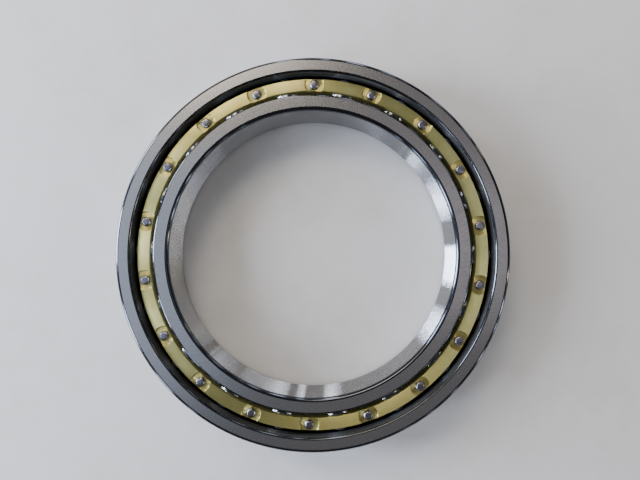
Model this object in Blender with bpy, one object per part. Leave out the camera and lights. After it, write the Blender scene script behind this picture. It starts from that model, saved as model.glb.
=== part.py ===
"""Single-row ball bearing with a riveted two-piece brass cage.

Two grooved steel rings, a full circle of balls between them, and a machined
cage whose two halves close round the balls and are held by a rivet in each
bridge. The bearing's axis is Z and its centre is the origin, so the side faces
lie at plus and minus half the ring width.
"""

import math

import bmesh
import bpy
from mathutils import Vector

# Boundary dimensions, in metres.
BORE_DIAMETER = 0.120
OUTER_DIAMETER = 0.165
RING_WIDTH = 0.022
RING_CORNER = 0.0015  # rounding between a side face and the bore or the outside

# Rolling geometry.
BALL_COUNT = 18
BALL_DIAMETER = 0.013494  # 17/32 inch
PITCH_DIAMETER = 0.143  # circle through the ball centres
GROOVE_CONFORMITY = 0.52  # groove radius over ball diameter
RUNNING_GAP = 0.0002  # between a ball and the bottom of each groove

# Shoulders beside the grooves.
INNER_SHOULDER_DIAMETER = 0.1332
OUTER_SHOULDER_DIAMETER = 0.1526
SHOULDER_CORNER = 0.0008

# Cage.
CAGE_WIDTH = 0.0168
CAGE_INNER_DIAMETER = 0.1377
CAGE_OUTER_DIAMETER = 0.1479
CAGE_SPLIT = 0.0003  # between the two halves
POCKET_CLEARANCE = 0.0003  # round each ball

# Rivets, one in the middle of each bridge between two pockets.
SHANK_DIAMETER = 0.0026
HEAD_DIAMETER = 0.0040
HEAD_TOP_DIAMETER = 0.0028
HEAD_HEIGHT = 0.0010
HEAD_GAP = 0.0002  # under each head
RIVET_HOLE_DIAMETER = 0.0032
SPOTFACE_DIAMETER = 0.0081
SPOTFACE_DEPTH = 0.0005

# Facets.
RING_SEGMENTS = 72
GROOVE_STEPS = 6
RING_CORNER_STEPS = 2
SHOULDER_CORNER_STEPS = 1
BALL_SEGMENTS = 12
BALL_RINGS = 8
CAGE_SEGMENTS = 54  # three for each ball
POCKET_SEGMENTS = 14
POCKET_RINGS = 10
SPOTFACE_SEGMENTS = 12
RIVET_SEGMENTS = 8
MERGE_DISTANCE = 1e-6

# Worked out from the above.
HALF_WIDTH = RING_WIDTH / 2
BALL_RADIUS = BALL_DIAMETER / 2
PITCH_RADIUS = PITCH_DIAMETER / 2
GROOVE_RADIUS = GROOVE_CONFORMITY * BALL_DIAMETER
BALL_STEP = math.tau / BALL_COUNT
CAGE_FACE = CAGE_WIDTH / 2
SPOTFACE_FLOOR = CAGE_FACE - SPOTFACE_DEPTH

STEEL = ((0.46, 0.46, 0.47), 0.32)
POLISHED_STEEL = ((0.62, 0.62, 0.63), 0.08)
BRASS = ((0.72, 0.58, 0.26), 0.36)
RIVET_STEEL = ((0.42, 0.41, 0.42), 0.38)


def clear_scene():
    for leftover in list(bpy.data.objects):
        bpy.data.objects.remove(leftover)


def metal(name, look):
    colour, roughness = look
    material = bpy.data.materials.new(name)
    material.use_nodes = True
    shader = material.node_tree.nodes["Principled BSDF"]
    shader.inputs["Base Color"].default_value = (*colour, 1.0)
    shader.inputs["Roughness"].default_value = roughness
    shader.inputs["Metallic"].default_value = 1.0
    return material


def arc(centre, radius, start, end, steps):
    """Points (r, z) of an arc from one angle to another, ends included."""
    turn = (end - start) / steps
    return [
        (
            centre[0] + radius * math.cos(start + turn * k),
            centre[1] + radius * math.sin(start + turn * k),
        )
        for k in range(steps + 1)
    ]


def round_corner(r, z, radius, inwards_r, inwards_z, steps):
    """A rounded corner at (r, z) whose material lies towards the two inward signs.

    It runs from the side face to the cylindrical wall."""
    centre = (r + inwards_r * radius, z + inwards_z * radius)
    face = math.atan2(-inwards_z, 0.0)
    wall = math.atan2(0.0, -inwards_r)
    if wall - face > math.pi:
        wall -= math.tau
    if face - wall > math.pi:
        wall += math.tau
    return arc(centre, radius, face, wall, steps)


def groove(shoulder_radius, outwards):
    """The raceway's arc from its upper to its lower edge.

    outwards is 1 on the outer ring, whose groove bulges away from the axis,
    and -1 on the inner ring."""
    bottom = PITCH_RADIUS + outwards * (BALL_RADIUS + RUNNING_GAP)
    centre = bottom - outwards * GROOVE_RADIUS
    reach = abs(shoulder_radius - centre)
    edge = math.acos(reach / GROOVE_RADIUS)
    if outwards > 0:
        return arc((centre, 0.0), GROOVE_RADIUS, edge, -edge, GROOVE_STEPS)
    return arc((centre, 0.0), GROOVE_RADIUS, math.pi - edge, math.pi + edge, GROOVE_STEPS)


def corner_pair(r, radius, inwards_r, steps):
    """The corners of one wall at the upper and at the lower side face."""
    upper = round_corner(r, HALF_WIDTH, radius, inwards_r, -1, steps)
    lower = round_corner(r, -HALF_WIDTH, radius, inwards_r, 1, steps)
    return upper, lower


def ring_outline(plain_radius, shoulder_radius, outwards):
    """Closed outline (r, z) of a ring: a plain cylinder on one side, and a groove
    between two shoulders on the side that faces the balls."""
    plain = (RING_CORNER, -outwards, RING_CORNER_STEPS)
    land = (SHOULDER_CORNER, outwards, SHOULDER_CORNER_STEPS)
    plain_top, plain_low = corner_pair(plain_radius, *plain)
    land_top, land_low = corner_pair(shoulder_radius, *land)
    return (
        land_top
        + groove(shoulder_radius, outwards)
        + land_low[::-1]
        + plain_low
        + plain_top[::-1]
    )


def turned_mesh(name, outline, segments, closed):
    """A solid of revolution about Z. An open outline starts and ends on the axis."""
    shape = bmesh.new()
    points = [shape.verts.new((r, 0.0, z)) for r, z in outline]
    edges = [shape.edges.new(pair) for pair in zip(points, points[1:])]
    if closed:
        edges.append(shape.edges.new((points[-1], points[0])))
    bmesh.ops.spin(
        shape,
        geom=points + edges,
        cent=(0, 0, 0),
        axis=(0, 0, 1),
        angle=math.tau,
        steps=segments,
        use_merge=True,
    )
    bmesh.ops.remove_doubles(shape, verts=shape.verts, dist=MERGE_DISTANCE)
    bmesh.ops.recalc_face_normals(shape, faces=shape.faces)
    return finished_mesh(name, shape)


def finished_mesh(name, shape):
    """The mesh of a bmesh, shaded smooth apart from its sharp edges."""
    mesh = bpy.data.meshes.new(name)
    shape.to_mesh(mesh)
    shape.free()
    mesh.shade_smooth()
    mesh.set_sharp_from_angle(angle=math.radians(32))
    return mesh


def place(name, mesh, parent, position=(0.0, 0.0, 0.0), turn=0.0):
    piece = bpy.data.objects.new(name, mesh)
    bpy.context.scene.collection.objects.link(piece)
    piece.location = position
    piece.rotation_euler.z = turn
    piece.parent = parent
    return piece


def axis_empty(name, parent=None):
    empty = bpy.data.objects.new(name, None)
    bpy.context.scene.collection.objects.link(empty)
    empty.empty_display_size = BORE_DIAMETER / 4
    empty.parent = parent
    return empty


def on_pitch_circle(angle):
    return Vector((PITCH_RADIUS * math.cos(angle), PITCH_RADIUS * math.sin(angle), 0.0))


def add_rings(bearing_axis, inner_axis):
    steel = metal("bearing_steel", STEEL)
    outer = turned_mesh(
        "outer_ring",
        ring_outline(OUTER_DIAMETER / 2, OUTER_SHOULDER_DIAMETER / 2, 1),
        RING_SEGMENTS,
        closed=True,
    )
    inner = turned_mesh(
        "inner_ring",
        ring_outline(BORE_DIAMETER / 2, INNER_SHOULDER_DIAMETER / 2, -1),
        RING_SEGMENTS,
        closed=True,
    )
    for mesh in (outer, inner):
        mesh.materials.append(steel)
    place("outer_ring", outer, bearing_axis)
    place("inner_ring", inner, inner_axis)


def add_balls(cage_axis):
    """One ball in each pocket, the first on +X."""
    shape = bmesh.new()
    bmesh.ops.create_uvsphere(
        shape, u_segments=BALL_SEGMENTS, v_segments=BALL_RINGS, radius=BALL_RADIUS
    )
    mesh = finished_mesh("ball", shape)
    mesh.materials.append(metal("ball_steel", POLISHED_STEEL))
    for k in range(BALL_COUNT):
        place(f"ball_{k + 1:02d}", mesh, cage_axis, on_pitch_circle(BALL_STEP * k))


def pocket_cutter():
    """A sphere round each ball, all in one cutter."""
    shape = bmesh.new()
    for k in range(BALL_COUNT):
        made = bmesh.ops.create_uvsphere(
            shape,
            u_segments=POCKET_SEGMENTS,
            v_segments=POCKET_RINGS,
            radius=BALL_RADIUS + POCKET_CLEARANCE,
        )
        bmesh.ops.translate(shape, verts=made["verts"], vec=on_pitch_circle(BALL_STEP * k))
    return cutter("pocket_cutter", finished_mesh("pocket_cutter", shape))


def rivet_seat_cutter(name, diameter, low, high, segments):
    """A cylinder between two heights on every rivet's axis, all in one cutter."""
    shape = bmesh.new()
    for k in range(BALL_COUNT):
        made = bmesh.ops.create_cone(
            shape,
            cap_ends=True,
            segments=segments,
            radius1=diameter / 2,
            radius2=diameter / 2,
            depth=high - low,
        )
        spot = on_pitch_circle(BALL_STEP * (k + 0.5)) + Vector((0, 0, (low + high) / 2))
        bmesh.ops.translate(shape, verts=made["verts"], vec=spot)
    return cutter(name, finished_mesh(name, shape))


def cutter(name, mesh):
    tool = place(name, mesh, None)
    tool.hide_render = True
    tool.display_type = "WIRE"
    return tool


def add_cage(cage_axis):
    """Two half rings, each with half of every pocket, meeting at mid-width."""
    brass = metal("cage_brass", BRASS)
    beyond = CAGE_FACE + SPOTFACE_DEPTH
    hole = (RIVET_HOLE_DIAMETER, -beyond, beyond, RIVET_SEGMENTS)
    pockets = pocket_cutter()
    holes = rivet_seat_cutter("rivet_hole_cutter", *hole)
    inner, outer = CAGE_INNER_DIAMETER / 2, CAGE_OUTER_DIAMETER / 2
    for name, side in (("cage_half_front", 1), ("cage_half_back", -1)):
        split, face = side * CAGE_SPLIT / 2, side * CAGE_FACE
        outline = [(inner, split), (outer, split), (outer, face), (inner, face)]
        mesh = turned_mesh(name, outline, CAGE_SEGMENTS, closed=True)
        mesh.materials.append(brass)
        half = place(name, mesh, cage_axis)
        low, high = sorted((side * SPOTFACE_FLOOR, side * beyond))
        seat = (SPOTFACE_DIAMETER, low, high, SPOTFACE_SEGMENTS)
        seats = rivet_seat_cutter(f"{name}_spotface_cutter", *seat)
        for tool in (pockets, holes, seats):
            cut = half.modifiers.new(tool.name, "BOOLEAN")
            cut.operation = "DIFFERENCE"
            cut.solver = "EXACT"
            cut.object = tool


def add_rivets(cage_axis):
    """A shank with a cone-sided, flat-topped head on both sides of the cage."""
    shank, head, top = SHANK_DIAMETER / 2, HEAD_DIAMETER / 2, HEAD_TOP_DIAMETER / 2
    under = SPOTFACE_FLOOR + HEAD_GAP
    rim = under + HEAD_HEIGHT / 3
    end = under + HEAD_HEIGHT
    upper = [(0.0, end), (top, end), (head, rim), (head, under), (shank, under)]
    lower = [(r, -z) for r, z in reversed(upper)]
    mesh = turned_mesh("cage_rivet", upper + lower, RIVET_SEGMENTS, closed=False)
    mesh.materials.append(metal("rivet_steel", RIVET_STEEL))
    for k in range(BALL_COUNT):
        angle = BALL_STEP * (k + 0.5)
        place(f"cage_rivet_{k + 1:02d}", mesh, cage_axis, on_pitch_circle(angle), angle)


def main():
    clear_scene()
    bearing_axis = axis_empty("bearing_axis")
    inner_axis = axis_empty("inner_ring_axis", bearing_axis)
    cage_axis = axis_empty("cage_axis", bearing_axis)
    add_rings(bearing_axis, inner_axis)
    add_balls(cage_axis)
    add_cage(cage_axis)
    add_rivets(cage_axis)


main()
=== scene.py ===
import math

import bmesh
import bpy
from mathutils import Matrix, Vector


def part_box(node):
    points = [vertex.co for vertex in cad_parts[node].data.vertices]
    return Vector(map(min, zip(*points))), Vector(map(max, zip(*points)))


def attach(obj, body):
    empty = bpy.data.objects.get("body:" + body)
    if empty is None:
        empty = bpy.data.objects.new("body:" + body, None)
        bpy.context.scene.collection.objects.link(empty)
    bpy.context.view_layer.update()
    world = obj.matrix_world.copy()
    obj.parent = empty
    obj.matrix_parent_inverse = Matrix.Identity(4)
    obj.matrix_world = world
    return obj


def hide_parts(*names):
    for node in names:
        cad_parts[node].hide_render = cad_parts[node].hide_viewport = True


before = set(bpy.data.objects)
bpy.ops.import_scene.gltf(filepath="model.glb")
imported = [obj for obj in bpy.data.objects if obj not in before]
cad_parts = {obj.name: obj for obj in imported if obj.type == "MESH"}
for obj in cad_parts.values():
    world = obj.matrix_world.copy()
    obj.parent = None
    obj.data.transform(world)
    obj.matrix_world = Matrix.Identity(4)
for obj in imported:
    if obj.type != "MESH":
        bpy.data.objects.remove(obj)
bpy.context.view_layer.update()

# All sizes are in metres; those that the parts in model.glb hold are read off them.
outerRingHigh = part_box("outer_ring")[1]
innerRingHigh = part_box("inner_ring")[1]
cageLow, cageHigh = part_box("cage_half_front")
ballLow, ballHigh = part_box("ball_01")
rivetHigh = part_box("cage_rivet_01")[1]

ballNames = sorted(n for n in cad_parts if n.startswith("ball_"))
rivetNames = sorted(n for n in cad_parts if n.startswith("cage_rivet_"))
ballCount = len(ballNames)
fullTurn = math.tau
ballStep = fullTurn / ballCount
halfWidth = outerRingHigh.z
ballRadius = ballHigh.z
pitchRadius = (ballLow.x + ballHigh.x) / 2
mergeDistance = 1e-7
near = 1e-6
quarterTurn = 0.25  # in whole turns
noiseRange = (0.3, 0.7)  # a noise texture mostly stays between these


def linearColour(hexText):
    # sRGB hex to the linear values that shaders take
    parts = [int(hexText[i : i + 2], 16) / 255 for i in (1, 3, 5)]
    linear = [p / 12.92 if p <= 0.04045 else ((p + 0.055) / 1.055) ** 2.4 for p in parts]
    return (*linear, 1.0)


def addNode(tree, kind, inputs=None, **settings):
    # one node with its settings; an input is a value or another node's output
    node = tree.nodes.new("ShaderNode" + kind)
    for name, value in settings.items():
        setattr(node, name, value)
    for name, value in (inputs or {}).items():
        if isinstance(value, bpy.types.NodeSocket):
            tree.links.new(value, node.inputs[name])
        else:
            node.inputs[name].default_value = value
    return node


def startMaterial(name, metallic):
    material = bpy.data.materials.new(name)
    material.use_nodes = True
    shader = material.node_tree.nodes["Principled BSDF"]
    shader.inputs["Metallic"].default_value = metallic
    return material, material.node_tree, shader


def aroundAxis(tree):
    # distance from the bearing's axis, angle round it in radians, and height
    place = addNode(tree, "TexCoord").outputs["Object"]
    parts = addNode(tree, "SeparateXYZ", {"Vector": place})
    flat = addNode(tree, "CombineXYZ", {"X": parts.outputs["X"], "Y": parts.outputs["Y"]})
    radius = addNode(tree, "VectorMath", {0: flat.outputs["Vector"]}, operation="LENGTH")
    angle = addNode(tree, "Math", {0: parts.outputs["Y"], 1: parts.outputs["X"]}, operation="ARCTAN2")
    return place, radius.outputs["Value"], angle.outputs["Value"], parts.outputs["Z"]


def fromRivet(tree, radius, angle):
    # distance from the nearest rivet's axis, and the direction that runs round that rivet;
    # the rivets stand half a step from the balls
    turned = addNode(tree, "Math", {0: angle, 1: ballStep, 2: 0.0}, operation="WRAP")
    off = addNode(tree, "Math", {0: turned.outputs[0], 1: ballStep / 2}, operation="SUBTRACT")
    along = addNode(tree, "Math", {0: off.outputs[0]}, operation="COSINE")
    across = addNode(tree, "Math", {0: off.outputs[0]}, operation="SINE")
    x = addNode(tree, "Math", {0: radius, 1: along.outputs[0], 2: -pitchRadius}, operation="MULTIPLY_ADD")
    y = addNode(tree, "Math", {0: radius, 1: across.outputs[0]}, operation="MULTIPLY")
    flat = addNode(tree, "CombineXYZ", {"X": x.outputs[0], "Y": y.outputs[0]})
    distance = addNode(tree, "VectorMath", {0: flat.outputs["Vector"]}, operation="LENGTH")
    quarterTurned = addNode(tree, "VectorRotate", {"Vector": flat.outputs["Vector"], "Angle": math.pi / 2})
    rivetAngle = addNode(tree, "Math", {0: angle, 1: off.outputs[0]}, operation="SUBTRACT")
    around = addNode(
        tree, "VectorRotate", {"Vector": quarterTurned.outputs["Vector"], "Angle": rivetAngle.outputs[0]}
    )
    return distance.outputs["Value"], around.outputs["Vector"]


def varyColour(tree, shader, share, span, first, second):
    # goes from one hex colour to the other as share goes through the span
    eased = addNode(tree, "MapRange", {"Value": share, "From Min": span[0], "From Max": span[1]})
    mixed = addNode(
        tree,
        "Mix",
        {"Factor": eased.outputs["Result"], "A": linearColour(first), "B": linearColour(second)},
        data_type="RGBA",
    )
    tree.links.new(mixed.outputs["Result"], shader.inputs["Base Color"])


def varyRoughness(tree, shader, share, span, first, second):
    # goes from one roughness to the other as share goes through the span
    rough = addNode(
        tree,
        "MapRange",
        {"Value": share, "From Min": span[0], "From Max": span[1], "To Min": first, "To Max": second},
    )
    tree.links.new(rough.outputs["Result"], shader.inputs["Roughness"])


def addBump(tree, shader, height, depth):
    bump = addNode(tree, "Bump", {"Height": height, "Distance": depth})
    tree.links.new(bump.outputs["Normal"], shader.inputs["Normal"])


def marksRoundAxis(tree, angle, radius, height, drift, spacing, detail):
    # noise drawn out into lines that run round the axis; drift is how fast each line changes
    slow = addNode(tree, "Math", {0: angle, 1: pitchRadius * drift}, operation="MULTIPLY")
    spot = addNode(tree, "CombineXYZ", {"X": slow.outputs[0], "Y": radius, "Z": height})
    marks = addNode(tree, "TexNoise", {"Vector": spot.outputs[0], "Scale": 1 / spacing, "Detail": detail})
    return marks.outputs["Fac"]


def stretchAcrossLines(tree, shader, amount, tangent):
    # highlights stretch across marks that run along the tangent
    tree.links.new(tangent, shader.inputs["Tangent"])
    shader.inputs["Anisotropic"].default_value = amount
    shader.inputs["Anisotropic Rotation"].default_value = quarterTurn


print("stage: materials")

groundFace = {
    "colour": "#b5b2af",
    "shadeColour": "#aba7a6",
    "roughness": (0.28, 0.25),
    "lineSpacing": 0.0005,  # coarser than real grinding lines, which would not show
    "leans": (0.8, -0.45),  # how far each family of lines leans off the radius
    "lineStretch": 20,
    "lineDepth": 0.0000012,
    "detail": 4.0,
    "patchSize": 0.012,
    "patchDetail": 3.0,
    "patchShare": 0.5,
    "toneRange": (1.07, 1.43),  # two families of lines and half the patches lie about 1.25
}


def groundFaceSteel():
    # Through-hardened bearing steel whose side faces were ground on a disc grinder.
    # The wheel leaves fine crossing arcs, so the face is a satin grey that is faintly streaked.
    material, tree, shader = startMaterial("ground bearing steel face", 1.0)
    place, radius, angle, _ = aroundAxis(tree)
    along = addNode(tree, "Math", {0: angle, 1: pitchRadius}, operation="MULTIPLY").outputs[0]
    slow = addNode(tree, "Math", {0: radius, 1: 1 / groundFace["lineStretch"]}, operation="MULTIPLY")
    families = []
    for number, lean in enumerate(groundFace["leans"]):
        line = addNode(tree, "Math", {0: radius, 1: lean, 2: along}, operation="MULTIPLY_ADD")
        spot = addNode(tree, "CombineXYZ", {"X": line.outputs[0], "Y": slow.outputs[0], "Z": number})
        marks = addNode(
            tree,
            "TexNoise",
            {
                "Vector": spot.outputs[0],
                "Scale": 1 / groundFace["lineSpacing"],
                "Detail": groundFace["detail"],
            },
        )
        families.append(marks.outputs["Fac"])
    lines = addNode(tree, "Math", {0: families[0], 1: families[1]}, operation="ADD").outputs[0]
    patches = addNode(
        tree,
        "TexNoise",
        {"Vector": place, "Scale": 1 / groundFace["patchSize"], "Detail": groundFace["patchDetail"]},
    )
    tone = addNode(
        tree,
        "Math",
        {0: patches.outputs["Fac"], 1: groundFace["patchShare"], 2: lines},
        operation="MULTIPLY_ADD",
    ).outputs[0]
    span = groundFace["toneRange"]
    varyColour(tree, shader, tone, span, groundFace["shadeColour"], groundFace["colour"])
    varyRoughness(tree, shader, tone, span, *groundFace["roughness"])
    addBump(tree, shader, lines, groundFace["lineDepth"])
    return material


groundCylinder = {
    "colour": "#c2c3c4",
    "shadeColour": "#adaeb0",
    "roughness": 0.08,
    "lineSpacing": 0.0003,
    "ridgeHeight": 0.00006,
    "drift": 0.002,
    "detail": 2.0,
    "patchScale": 60.0,
    "patchDetail": 3.0,
    "toneRange": (0.85, 1.15),
    "stretch": 1.0,
}


def groundCylinderSteel():
    # Bearing steel ground to size on the bore and the outside. The fine ridges run round
    # the wall, so each light smears into a stripe that goes from face to face.
    material, tree, shader = startMaterial("ground bearing steel wall", 1.0)
    shader.inputs["Roughness"].default_value = groundCylinder["roughness"]
    place, _, angle, height = aroundAxis(tree)
    marks = marksRoundAxis(
        tree,
        angle,
        0.0,
        height,
        groundCylinder["drift"],
        groundCylinder["lineSpacing"],
        groundCylinder["detail"],
    )
    patches = addNode(
        tree,
        "TexNoise",
        {"Vector": place, "Scale": groundCylinder["patchScale"], "Detail": groundCylinder["patchDetail"]},
    )
    tone = addNode(tree, "Math", {0: marks, 1: patches.outputs["Fac"]}, operation="ADD").outputs[0]
    span = groundCylinder["toneRange"]
    varyColour(tree, shader, tone, span, groundCylinder["shadeColour"], groundCylinder["colour"])
    turns = addNode(
        tree, "Math", {0: height, 1: fullTurn / groundCylinder["lineSpacing"]}, operation="MULTIPLY"
    )
    ridges = addNode(tree, "Math", {0: turns.outputs[0]}, operation="SINE")
    addBump(tree, shader, ridges.outputs[0], groundCylinder["ridgeHeight"])
    tangent = addNode(tree, "Tangent", direction_type="RADIAL", axis="Z")
    stretchAcrossLines(tree, shader, groundCylinder["stretch"], tangent.outputs["Tangent"])
    return material


turnedDesign = {"drift": 0.02, "detail": 2.0, "smoothest": 0.7, "roughest": 1.5}
cornerSteel = {"colour": "#505359", "roughness": 0.1, "lineSpacing": 0.0006, "lineDepth": 0.000004}
landSteel = {"colour": "#8a8c91", "roughness": 0.14, "lineSpacing": 0.0004, "lineDepth": 0.000006}
# painted shade: the outer ring's land is a darker grey than the inner ring's so the gap beside it reads
# dark; its high roughness is a real matt finish
mattLandSteelPaintedShade = {"colour": "#808287", "roughness": 0.46, "lineSpacing": 0.0004, "lineDepth": 0.000006}


def turnedSteel(name, finish):
    # Surfaces left as turned and heat treated, and slightly blue. The corners show as dark bands
    # with one thin bright line; the inner ring's land mirrors the glints of the balls, and the outer
    # ring's is a dull grey that fades into the gap, painted darker than the inner ring's as shade.
    material, tree, shader = startMaterial(name, 1.0)
    _, radius, angle, height = aroundAxis(tree)
    shader.inputs["Base Color"].default_value = linearColour(finish["colour"])
    marks = marksRoundAxis(
        tree, angle, radius, height, turnedDesign["drift"], finish["lineSpacing"], turnedDesign["detail"]
    )
    smooth = finish["roughness"] * turnedDesign["smoothest"]
    coarse = finish["roughness"] * turnedDesign["roughest"]
    varyRoughness(tree, shader, marks, noiseRange, smooth, coarse)
    addBump(tree, shader, marks, finish["lineDepth"])
    return material


racewaySteel = {
    "colour": "#84858a",
    "roughness": (0.07, 0.16),
    "lineSpacing": 0.0005,
    "drift": 0.02,
    "detail": 3.0,
}


def superfinishedRacewaySteel():
    # Grooves honed with an oscillating stone: nearly a mirror, with a faint grain along the track.
    material, tree, shader = startMaterial("superfinished raceway steel", 1.0)
    _, radius, angle, height = aroundAxis(tree)
    shader.inputs["Base Color"].default_value = linearColour(racewaySteel["colour"])
    marks = marksRoundAxis(
        tree,
        angle,
        radius,
        height,
        racewaySteel["drift"],
        racewaySteel["lineSpacing"],
        racewaySteel["detail"],
    )
    varyRoughness(tree, shader, marks, noiseRange, *racewaySteel["roughness"])
    return material


polishedBall = {
    "colour": "#d0d1d4",
    "roughness": (0.025, 0.07),
    "hazeScale": 700.0,
    "hazeDetail": 3.0,
    "hazeRange": (0.35, 0.7),
}


def polishedBallSteel():
    # Lapped balls: a mirror with the faintest haze, which gives one hard glint for each light.
    material, tree, shader = startMaterial("lapped ball steel", 1.0)
    shader.inputs["Base Color"].default_value = linearColour(polishedBall["colour"])
    place = addNode(tree, "TexCoord").outputs["Object"]
    haze = addNode(
        tree,
        "TexNoise",
        {"Vector": place, "Scale": polishedBall["hazeScale"], "Detail": polishedBall["hazeDetail"]},
    )
    varyRoughness(tree, shader, haze.outputs["Fac"], polishedBall["hazeRange"], *polishedBall["roughness"])
    return material


brassFinish = {
    "colour": "#ede59a",
    "tarnish": "#dbd385",
    "colourRange": (0.55, 0.85),
    "roughness": (0.44, 0.36),
    "roughnessRange": (0.5, 0.9),
    "turningPitch": 0.00022,  # feed of the facing cut
    "turningDepth": 0.00001,
    "turningShare": 0.4,
    "drift": 0.01,
    "detail": 2.0,
    "patchScale": 110.0,
    "patchDetail": 5.0,
    "patchRoughness": 0.6,
    "stretch": 0.9,
}


def turnedBrass():
    # Cast brass, faced on a lathe. The concentric feed marks fan each light out into a
    # pale sector, and the alloy has begun to tarnish in soft patches.
    material, tree, shader = startMaterial("turned cage brass", 1.0)
    place, radius, angle, height = aroundAxis(tree)
    marks = marksRoundAxis(
        tree,
        angle,
        radius,
        height,
        brassFinish["drift"],
        brassFinish["turningPitch"],
        brassFinish["detail"],
    )
    patches = addNode(
        tree,
        "TexNoise",
        {
            "Vector": place,
            "Scale": brassFinish["patchScale"],
            "Detail": brassFinish["patchDetail"],
            "Roughness": brassFinish["patchRoughness"],
        },
    )
    tone = addNode(
        tree,
        "Math",
        {0: marks, 1: brassFinish["turningShare"], 2: patches.outputs["Fac"]},
        operation="MULTIPLY_ADD",
    ).outputs[0]
    span = brassFinish["colourRange"]
    varyColour(tree, shader, tone, span, brassFinish["tarnish"], brassFinish["colour"])
    varyRoughness(tree, shader, tone, brassFinish["roughnessRange"], *brassFinish["roughness"])
    addBump(tree, shader, marks, brassFinish["turningDepth"])
    tangent = addNode(tree, "Tangent", direction_type="RADIAL", axis="Z")
    stretchAcrossLines(tree, shader, brassFinish["stretch"], tangent.outputs["Tangent"])
    return material


spotfaceFinish = {
    # painted shade: both colours are darker and browner than the cage face's brass; the noise patches
    # between them are random tone
    "colour": "#e6d98c",
    "tarnish": "#c4b66e",
    "colourRange": (0.4, 0.62),
    "roughness": 0.34,
    "pitch": 0.00035,
    "depth": 0.00001,
    "wobbleScale": 900.0,
    "wobbleDetail": 2.0,
    "patchScale": 160.0,
    "patchDetail": 4.0,
    "stretch": 1.0,
}


def spotfacedBrass():
    # Seats cut round each rivet with a counterbore: rings about the rivet that catch
    # the light in two opposite quarters. Their brass is painted darker and browner than the cage's face as
    # shade in the seats, and varies in soft patches.
    material, tree, shader = startMaterial("spotfaced cage brass", 1.0)
    shader.inputs["Roughness"].default_value = spotfaceFinish["roughness"]
    place, radius, angle, _ = aroundAxis(tree)
    distance, around = fromRivet(tree, radius, angle)
    stretchAcrossLines(tree, shader, spotfaceFinish["stretch"], around)
    wobble = addNode(
        tree,
        "TexNoise",
        {"Vector": place, "Scale": spotfaceFinish["wobbleScale"], "Detail": spotfaceFinish["wobbleDetail"]},
    )
    phase = addNode(
        tree,
        "Math",
        {0: distance, 1: fullTurn / spotfaceFinish["pitch"], 2: wobble.outputs["Fac"]},
        operation="MULTIPLY_ADD",
    )
    wave = addNode(tree, "Math", {0: phase.outputs[0]}, operation="SINE")
    rings = addNode(tree, "Math", {0: wave.outputs[0], 1: 0.5, 2: 0.5}, operation="MULTIPLY_ADD")
    patches = addNode(
        tree,
        "TexNoise",
        {"Vector": place, "Scale": spotfaceFinish["patchScale"], "Detail": spotfaceFinish["patchDetail"]},
    )
    tone = patches.outputs["Fac"]
    span = spotfaceFinish["colourRange"]
    varyColour(tree, shader, tone, span, spotfaceFinish["tarnish"], spotfaceFinish["colour"])
    addBump(tree, shader, rings.outputs[0], spotfaceFinish["depth"])
    return material


rivetFinish = {
    "colour": "#7e7b82",
    "worn": "#a19ea4",
    "colourRange": (0.35, 0.7),
    "roughness": (0.3, 0.2),
    "grain": 0.0005,
    "grainDetail": 4.0,
    "grainDepth": 0.00003,
}


def headedRivetSteel():
    # Cold-headed soft steel: a dull hammered top and burnished sides.
    material, tree, shader = startMaterial("headed rivet steel", 1.0)
    place = addNode(tree, "TexCoord").outputs["Object"]
    grain = addNode(
        tree,
        "TexNoise",
        {"Vector": place, "Scale": 1 / rivetFinish["grain"], "Detail": rivetFinish["grainDetail"]},
    ).outputs["Fac"]
    varyColour(tree, shader, grain, rivetFinish["colourRange"], rivetFinish["colour"], rivetFinish["worn"])
    varyRoughness(tree, shader, grain, noiseRange, *rivetFinish["roughness"])
    addBump(tree, shader, grain, rivetFinish["grainDepth"])
    return material


faceSteel = groundFaceSteel()
wallSteel = groundCylinderSteel()
cornerFinish = turnedSteel("turned bearing steel corner", cornerSteel)
landFinishes = {
    "inner_ring": turnedSteel("bright turned steel land", landSteel),
    # the outer ring's land carries painted shade: a darker grey than the inner ring's land
    "outer_ring": turnedSteel("matt turned steel land with painted shade", mattLandSteelPaintedShade),
}
trackSteel = superfinishedRacewaySteel()
ballSteel = polishedBallSteel()
cageBrass = turnedBrass()
seatBrass = spotfacedBrass()
rivetSteel = headedRivetSteel()


sharpAngle = math.radians(30)


def closeSeams(shape):
    bmesh.ops.remove_doubles(shape, verts=shape.verts, dist=mergeDistance)
    bmesh.ops.recalc_face_normals(shape, faces=shape.faces)


def turnAboutAxis(shape, geometry, steps):
    # a full turn about Z, closed where it meets itself
    bmesh.ops.spin(
        shape,
        geom=geometry,
        cent=(0, 0, 0),
        axis=(0, 0, 1),
        angle=fullTurn,
        steps=steps,
        use_merge=True,
    )
    closeSeams(shape)


def roundEdges(shape, edges, size, steps):
    made = bmesh.ops.bevel(
        shape, geom=edges, offset=size, affect="EDGES", segments=steps, profile=0.5, material=-1
    )
    return made["faces"]


def makeObject(name, shape, materials):
    # puts the bmesh in the scene and frees it
    mesh = bpy.data.meshes.new(name)
    shape.to_mesh(mesh)
    shape.free()
    for material in materials:
        mesh.materials.append(material)
    made = bpy.data.objects.new(name, mesh)
    bpy.context.scene.collection.objects.link(made)
    return made


def finishPiece(name, shape, materials, body, replaced):
    # turns the bmesh into a shown piece that stands for its CAD node
    closeSeams(shape)
    for face in shape.faces:
        face.smooth = True
    for edge in shape.edges:
        # a change of finish is a sharp line too, so that flat faces shade flat
        sides = {face.material_index for face in edge.link_faces}
        edge.smooth = len(sides) == 1 and edge.calc_face_angle(0) < sharpAngle
    piece = makeObject(name, shape, materials)
    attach(piece, body)
    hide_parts(replaced)
    return piece


print("stage: rings")

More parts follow.
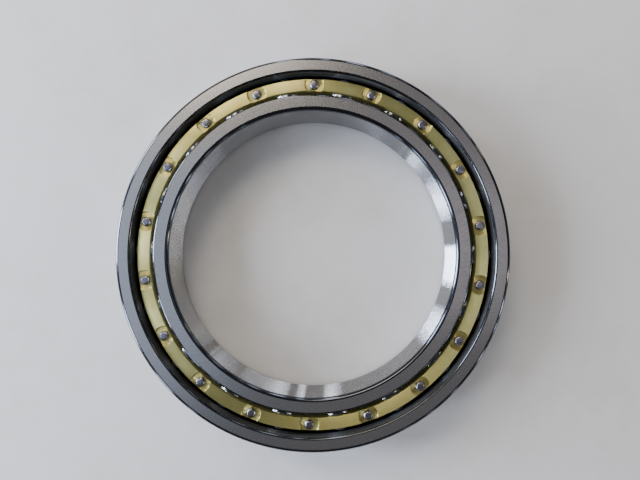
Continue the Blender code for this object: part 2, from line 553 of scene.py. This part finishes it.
ringDesign = {
    "boreRadius": 0.060,
    "outerShoulder": 0.0763,
    "segments": 288,
    "corner": 0.0015,
    "shoulderCorner": 0.0008,
    "cornerSteps": 8,
    "grooveSteps": 24,
    "conformity": 0.52,  # groove radius over ball diameter
    "runningGap": 0.0002,
    "flatNormal": 0.99,  # a side face's normal is at least this much along Z
    "wallReach": 0.0005,  # a wall's faces lie this near its radius
}
onFace, onWall, onCorner, onTrack, onLand = range(5)


def buildRing(name, plainRadius, shoulderRadius, outwards):
    # outwards is 1 where the groove opens towards the axis and bulges away from it
    shape = bmesh.new()
    grooveRadius = ringDesign["conformity"] * 2 * ballRadius
    bottom = pitchRadius + outwards * (ballRadius + ringDesign["runningGap"])
    grooveCentre = Vector((bottom - outwards * grooveRadius, 0, 0))
    halfArc = math.acos(abs(shoulderRadius - grooveCentre.x) / grooveRadius)
    # the groove is one vertex turned about the groove's own centre
    edgeHeight = grooveRadius * math.sin(halfArc)
    start = shape.verts.new((shoulderRadius, 0, edgeHeight))
    bmesh.ops.spin(
        shape,
        geom=[start],
        cent=grooveCentre,
        axis=(0, outwards, 0),
        angle=2 * halfArc,
        steps=ringDesign["grooveSteps"],
        use_merge=False,
    )
    end = min(shape.verts, key=lambda v: v.co.z)
    corners = [
        shape.verts.new((r, 0, z))
        for r, z in (
            (shoulderRadius, halfWidth),
            (plainRadius, halfWidth),
            (plainRadius, -halfWidth),
            (shoulderRadius, -halfWidth),
        )
    ]
    for pair in zip([start] + corners, corners + [end]):
        shape.edges.new(pair)
    turnAboutAxis(shape, shape.verts[:] + shape.edges[:], ringDesign["segments"])
    for radius, size in (
        (plainRadius, ringDesign["corner"]),
        (shoulderRadius, ringDesign["shoulderCorner"]),
    ):
        rims = [e for e in shape.edges if isRim(e, radius)]
        for face in roundEdges(shape, rims, size, ringDesign["cornerSteps"]):
            face.material_index = onCorner
    for face in shape.faces:
        if face.material_index != onCorner:
            face.material_index = ringFinish(face, plainRadius, edgeHeight)
    finishes = [faceSteel, wallSteel, cornerFinish, trackSteel, landFinishes[name]]
    return finishPiece(name, shape, finishes, name, name)


def isRim(edge, radius):
    # an edge that runs round a side face at this radius
    first, second = (v.co for v in edge.verts)
    level = abs(first.z - second.z) < near and abs(abs(first.z) - halfWidth) < near
    return level and all(abs(v.xy.length - radius) < near for v in (first, second))


def ringFinish(face, plainRadius, grooveEdge):
    # which finish a face takes, from where it lies on the ring
    middle = face.calc_center_median()
    if abs(face.normal.z) > ringDesign["flatNormal"]:
        return onFace
    if abs(middle.xy.length - plainRadius) < ringDesign["wallReach"]:
        return onWall
    if abs(middle.z) > grooveEdge:
        return onLand
    return onTrack


buildRing("outer_ring", outerRingHigh.x, ringDesign["outerShoulder"], 1).name = "outerRing"
buildRing("inner_ring", ringDesign["boreRadius"], innerRingHigh.x, -1).name = "innerRing"

print("stage: balls")

ballDesign = {"segments": 48, "rings": 32}

for number, ballName in enumerate(ballNames):
    shape = bmesh.new()
    bmesh.ops.create_uvsphere(
        shape, u_segments=ballDesign["segments"], v_segments=ballDesign["rings"], radius=ballRadius
    )
    place = Matrix.Rotation(ballStep * number, 4, "Z") @ Matrix.Translation((pitchRadius, 0, 0))
    bmesh.ops.transform(shape, matrix=place, verts=shape.verts)
    finishPiece("ball" + ballName[-2:], shape, [ballSteel], ballName, ballName)

print("stage: cage")

cageDesign = {
    "innerRadius": 0.06885,
    "segments": 288,
    "edgeBreak": 0.0002,
    "edgeSteps": 3,
    "pocketClearance": 0.00025,
    "pocketSegments": 48,
    "pocketRings": 32,
    "spotRadius": 0.00405,
    "spotBreak": 0.00015,
    "spotDepth": 0.0005,
    "spotSegments": 64,
    "holeRadius": 0.0015,
    "holeBreak": 0.0002,
    "toolMargin": 0.001,  # how far a cutting shape sticks out of the ring
}


def turnOutline(shape, outline, steps):
    # a closed solid turned from an outline that starts and ends on the Z axis
    points = [shape.verts.new((r, 0, z)) for r, z in outline]
    edges = [shape.edges.new(pair) for pair in zip(points, points[1:])]
    turnAboutAxis(shape, points + edges, steps)


def roundTheCage(name, single, offset, material):
    # copies a shape out to the pitch circle, once for each ball; the offset is in ball steps
    pattern = bpy.data.meshes.new(name)
    single.to_mesh(pattern)
    single.free()
    shape = bmesh.new()
    for number in range(ballCount):
        known = set(shape.verts)
        shape.from_mesh(pattern)
        added = [v for v in shape.verts if v not in known]
        turn = Matrix.Rotation(ballStep * (number + offset), 4, "Z")
        move = turn @ Matrix.Translation((pitchRadius, 0, 0))
        bmesh.ops.transform(shape, matrix=move, verts=added)
    return makeObject(name + "s", shape, [material])


def cutBy(piece, cutter):
    cut = piece.modifiers.new(cutter.name, "BOOLEAN")
    cut.operation = "DIFFERENCE"
    cut.solver = "EXACT"
    cut.material_mode = "TRANSFER"
    cut.object = cutter


def cageBlank(split, face):
    # the plain ring from the split to the front face, with the face's two edges broken
    inner, outer = cageDesign["innerRadius"], cageHigh.x
    outline = ((inner, split), (outer, split), (outer, face), (inner, face))
    shape = bmesh.new()
    corners = [shape.verts.new((r, 0, z)) for r, z in outline]
    edges = [shape.edges.new((corner, corners[i - 1])) for i, corner in enumerate(corners)]
    turnAboutAxis(shape, corners + edges, cageDesign["segments"])
    rims = [
        e
        for e in shape.edges
        if all(abs(v.co.z - face) < near for v in e.verts)
        and abs(e.verts[0].co.xy.length - e.verts[1].co.xy.length) < near
    ]
    roundEdges(shape, rims, cageDesign["edgeBreak"], cageDesign["edgeSteps"])
    return makeObject("cageBlank", shape, cageFinishes)


def pocketTools():
    pocket = bmesh.new()
    bmesh.ops.create_uvsphere(
        pocket,
        u_segments=cageDesign["pocketSegments"],
        v_segments=cageDesign["pocketRings"],
        radius=ballRadius + cageDesign["pocketClearance"],
    )
    return roundTheCage("pocketTool", pocket, 0.0, cageBrass)


def seatTools(split, face):
    # a counterbore with a broken edge, and the rivet's hole below it
    floorHeight = face - cageDesign["spotDepth"]
    spot, rim = cageDesign["spotRadius"], cageDesign["spotBreak"]
    hole, lip = cageDesign["holeRadius"], cageDesign["holeBreak"]
    margin = cageDesign["toolMargin"]
    above, below = face + margin, split - margin
    outline = [
        (0, above),
        (spot + rim + margin, above),
        (spot + rim, face),
        (spot, face - rim),
        (spot, floorHeight),
        (hole + lip, floorHeight),
        (hole, floorHeight - lip),
        (hole, below),
        (0, below),
    ]
    seat = bmesh.new()
    turnOutline(seat, outline, cageDesign["spotSegments"])
    return roundTheCage("seatTool", seat, 0.5, seatBrass)


def buildCageHalf():
    # the front half's bmesh: a turned ring, less the ball pockets and the rivet seats
    split, face = cageLow.z, cageHigh.z
    body = cageBlank(split, face)
    cutters = [pocketTools(), seatTools(split, face)]
    for cutter in cutters:
        cutBy(body, cutter)
    bpy.context.view_layer.update()
    evaluated = body.evaluated_get(bpy.context.evaluated_depsgraph_get())
    cut = bmesh.new()
    cut.from_mesh(evaluated.to_mesh())
    evaluated.to_mesh_clear()
    for helper in [body] + cutters:
        bpy.data.objects.remove(helper)
    return cut


cageFinishes = [cageBrass, seatBrass]
frontHalf = buildCageHalf()
backHalf = frontHalf.copy()
bmesh.ops.scale(backHalf, vec=(1, 1, -1), verts=backHalf.verts)
bmesh.ops.reverse_faces(backHalf, faces=backHalf.faces)
finishPiece("cageHalfFront", frontHalf, cageFinishes, "cage", "cage_half_front")
finishPiece("cageHalfBack", backHalf, cageFinishes, "cage", "cage_half_back")

print("stage: rivets")

rivetDesign = {
    "shankRadius": 0.0013,
    "headRadius": 0.0020,
    "topRadius": 0.0014,
    "headHeight": 0.0010,
    "bulge": 0.00035,
    "edgeRound": 0.00022,
    "edgeSteps": 4,
    "segments": 40,
}


def buildRivet(name, number):
    # two headed ends on one shank; the head's side is a quarter round below a flat top
    shape = bmesh.new()
    end = rivetHigh.z
    under = end - rivetDesign["headHeight"]
    head, top, shank = rivetDesign["headRadius"], rivetDesign["topRadius"], rivetDesign["shankRadius"]
    half = [(0, end), (top, end), (head, under + rivetDesign["bulge"]), (head, under), (shank, under)]
    turnOutline(shape, half + [(r, -z) for r, z in reversed(half)], rivetDesign["segments"])
    rims = [
        e
        for e in shape.edges
        if abs(e.verts[0].co.z - e.verts[1].co.z) < near
        and all(v.co.xy.length > top - near and abs(v.co.z) > under + near for v in e.verts)
    ]
    roundEdges(shape, rims, rivetDesign["edgeRound"], rivetDesign["edgeSteps"])
    turn = Matrix.Rotation(ballStep * (number + 0.5), 4, "Z")
    bmesh.ops.transform(shape, matrix=turn @ Matrix.Translation((pitchRadius, 0, 0)), verts=shape.verts)
    finishPiece("rivet" + name[-2:], shape, [rivetSteel], "cage", name)


for number, rivetName in enumerate(rivetNames):
    buildRivet(rivetName, number)

print("stage: floor, lights and camera")

floorDesign = {
    "size": 3.0,
    "colour": "#d6d3cf",
    "fleck": "#cdc9c2",
    "colourRange": (0.2, 0.55),
    "roughness": 0.75,
    "cloudScale": 45.0,
    "cloudDetail": 6.0,
    "cloudRoughness": 0.65,
}


def paperFloor():
    # Matt packing paper with faint darker clouds, so the pale ground is not quite even.
    material, tree, shader = startMaterial("matt packing paper", 0.0)
    shader.inputs["Roughness"].default_value = floorDesign["roughness"]
    place = addNode(tree, "TexCoord").outputs["Object"]
    clouds = addNode(
        tree,
        "TexNoise",
        {
            "Vector": place,
            "Scale": floorDesign["cloudScale"],
            "Detail": floorDesign["cloudDetail"],
            "Roughness": floorDesign["cloudRoughness"],
        },
    )
    span = floorDesign["colourRange"]
    varyColour(tree, shader, clouds.outputs["Fac"], span, floorDesign["fleck"], floorDesign["colour"])
    return material


floorShape = bmesh.new()
bmesh.ops.create_grid(floorShape, x_segments=1, y_segments=1, size=floorDesign["size"] / 2)
bmesh.ops.translate(floorShape, verts=floorShape.verts, vec=(0, 0, -halfWidth))
studioFloor = makeObject("studioFloor", floorShape, [paperFloor()])

# Each pane is an azimuth, a width and a brightness. The azimuth is counted from +X towards +Y,
# the elevation up from the floor; both, and each light's width and height as the bearing sees
# them, are in degrees.
lightDistance = 1.1
softLights = {
    "lowerPane": {
        "elevation": 9.5,
        "height": 15,
        "colour": "#d1e2ff",
        "panes": ((151, 12, 12), (176, 15, 54), (202, 11, 24), (221, 7, 11), (232, 3, 8)),
    },
    "upperPane": {
        "elevation": 27,
        "height": 20,
        "colour": "#e4ecff",
        "panes": ((151, 12, 20), (176, 15, 29), (202, 11, 22), (221, 7, 7)),
    },
    "sideStrip": {
        "elevation": 19,
        "height": 30,
        "colour": "#eef2ff",
        "panes": (
            (100.7, 5, 6.5),
            (88.7, 2.5, 5.5),
            (79.6, 5, 6.5),
            (69.5, 4.5, 3.2),
            (64, 2, 1.5),
            (52.2, 4.5, 2.6),
            (47.6, 1.5, 1.5),
            (39.4, 4, 1.7),
            (344.4, 4, 9),
            (338.2, 2, 6),
            (328.4, 3, 7),
            (315.5, 2, 3),
            (306.3, 1.5, 2.5),
            (297.6, 1.5, 2.5),
        ),
    },
    "warmStrip": {
        "elevation": 19,
        "height": 30,
        "colour": "#fff0d6",
        "panes": ((33, 4, 2.5), (354, 2.5, 12)),
    },
    "keyPanel": {"elevation": 44, "height": 18, "colour": "#ffeac4", "panes": ((122, 52, 3.8),)},
    "skyPanel": {"elevation": 54, "height": 14, "colour": "#fff8ee", "panes": ((115, 40, 5.6),)},
    "ceilingLeft": {"elevation": 62, "height": 30, "colour": "#c9deff", "panes": ((183, 66, 0.8),)},
    "ceilingRight": {
        "elevation": 72,
        "height": 20,
        "colour": "#f6f4ff",
        "panes": ((5, 55, 0.65), (58, 50, 0.15), (285, 70, 0.08)),
    },
}


def addSoftLight(name, design, azimuth, width, brightness):
    # a rectangle that faces the bearing; its energy follows its area, so brightness is radiance
    elevation = math.radians(design["elevation"])
    turn = math.radians(azimuth)
    level = math.cos(elevation)
    away = Vector((level * math.cos(turn), level * math.sin(turn), math.sin(elevation)))
    lamp = bpy.data.lights.new(name, "AREA")
    lamp.shape = "RECTANGLE"
    lamp.size = 2 * lightDistance * math.tan(math.radians(width / 2)) * level
    lamp.size_y = 2 * lightDistance * math.tan(math.radians(design["height"] / 2))
    lamp.energy = brightness * math.pi * lamp.size * lamp.size_y
    lamp.color = linearColour(design["colour"])[:3]
    light = bpy.data.objects.new(name, lamp)
    bpy.context.scene.collection.objects.link(light)
    light.location = away * lightDistance
    light.rotation_euler = away.to_track_quat("Z", "Y").to_euler()


for kind, design in softLights.items():
    for number, (azimuth, width, brightness) in enumerate(design["panes"]):
        addSoftLight(f"{kind}{number + 1}", design, azimuth, width, brightness)

roomDesign = {"colour": "#f7f9ff", "strength": 0.1}

world = bpy.data.worlds.new("studioRoom")
world.use_nodes = True
room = world.node_tree.nodes["Background"]
room.inputs["Color"].default_value = linearColour(roomDesign["colour"])
room.inputs["Strength"].default_value = roomDesign["strength"]
bpy.context.scene.world = world

cameraDesign = {
    "place": (0.0071, 0.0, 0.2138),
    "target": (0.00347, 0.00547, 0.011),
    "roll": 0.8,  # degrees
    "lens": 27.45,
    "sensor": 36.0,
    "clipStart": 0.01,
}


def addCamera():
    camera = bpy.data.cameras.new("studioCamera")
    camera.lens = cameraDesign["lens"]
    camera.sensor_width = cameraDesign["sensor"]
    camera.clip_start = cameraDesign["clipStart"]
    holder = bpy.data.objects.new("studioCamera", camera)
    bpy.context.scene.collection.objects.link(holder)
    place, target = Vector(cameraDesign["place"]), Vector(cameraDesign["target"])
    roll = math.radians(cameraDesign["roll"])
    forward = (target - place).normalized()
    right = forward.cross(Vector((-math.sin(roll), math.cos(roll), 0))).normalized()
    up = right.cross(forward)
    turn = Matrix((right, up, -forward)).transposed().to_4x4()
    holder.matrix_world = Matrix.Translation(place) @ turn
    bpy.context.scene.camera = holder


addCamera()
